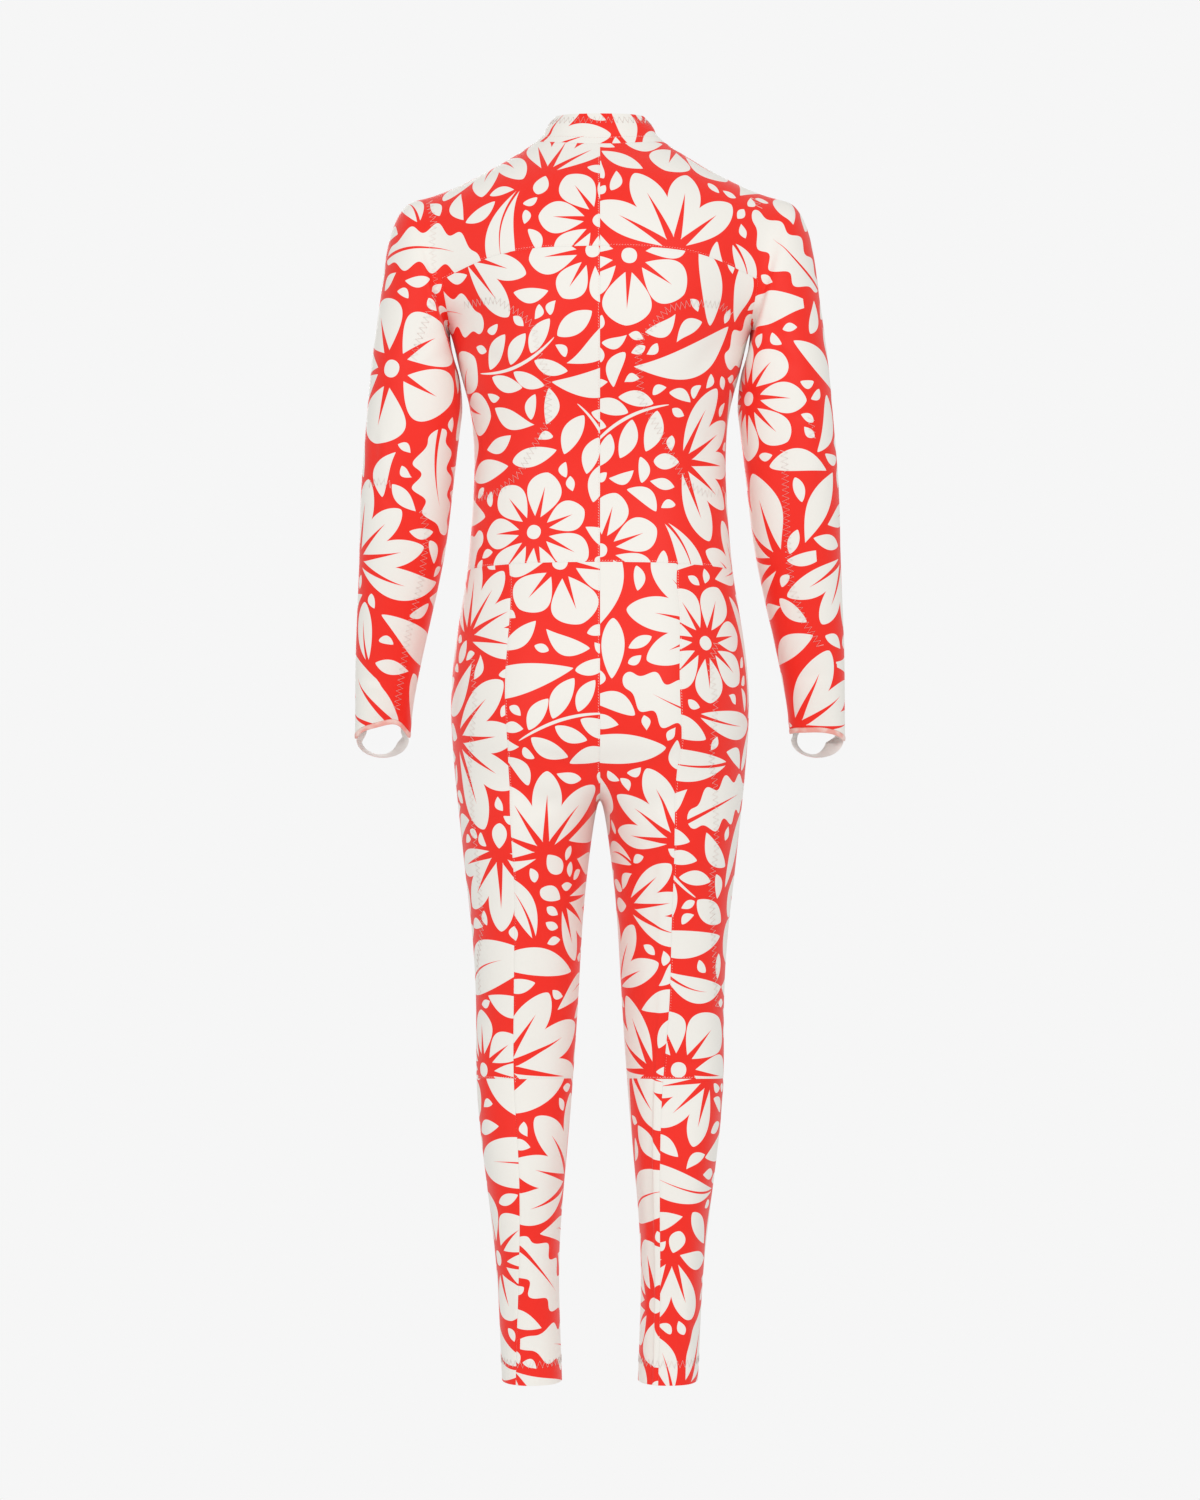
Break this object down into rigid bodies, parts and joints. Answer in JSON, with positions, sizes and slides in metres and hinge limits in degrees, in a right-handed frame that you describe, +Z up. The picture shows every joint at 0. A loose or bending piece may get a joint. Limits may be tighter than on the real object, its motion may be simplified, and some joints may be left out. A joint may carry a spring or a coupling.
{
  "type": "ski race suit",
  "caption": "One-piece stretch ski race suit, filled out as if worn, with a stand collar, front zip, hand loops at the cuffs and straight leg ends.",
  "frame": {"origin": "in the middle of the neck, level with the collar's seam at the nape, where the wearer's neck and shoulders carry the suit", "axes": "+Z up along the suit, front towards -Y, the wearer's left at +X"},
  "size_m": [0.531, 0.2401, 1.3518],
  "materials": {
    "printed_cloth": "smooth satin stretch knit, red and off-white",
    "collar_cloth": "smooth doubled stretch knit",
    "elastic_binding": "ribbed folded elastic",
    "strap_cloth": "stretch knit, edge turned",
    "zip_tape": "woven tape",
    "zip_teeth": "moulded coil",
    "zip_metal": "cast and tumbled"
  },
  "bodies": {
    "suit": {"collar": "collar_cloth", "sleeve_left": "printed_cloth", "back_left": "printed_cloth", "front_left": "printed_cloth", "seat_left": "printed_cloth", "side_left": "printed_cloth", "thigh_left": "printed_cloth", "calf_back_left": "printed_cloth", "calf_side_left": "printed_cloth", "calf_front_left": "printed_cloth", "cuff_left": "elastic_binding", "hand_loop_left": "strap_cloth", "sleeve_right": "printed_cloth", "back_right": "printed_cloth", "front_right": "printed_cloth", "seat_right": "printed_cloth", "side_right": "printed_cloth", "thigh_right": "printed_cloth", "calf_back_right": "printed_cloth", "calf_side_right": "printed_cloth", "calf_front_right": "printed_cloth", "cuff_right": "elastic_binding", "hand_loop_right": "strap_cloth", "zip_tape": "zip_tape", "zip_chain": "zip_teeth", "zip_slider": "zip_metal"},
    "pull": {"zip_pull": "zip_metal"}
  },
  "joints": [
    {"name": "zip_pull_swing", "type": "hinge", "parent": "suit", "child": "pull", "pos_m": [0, -0.06488, -0.00689], "axis": [-1, 0, 0], "range_deg": [0, 160]}
  ]
}
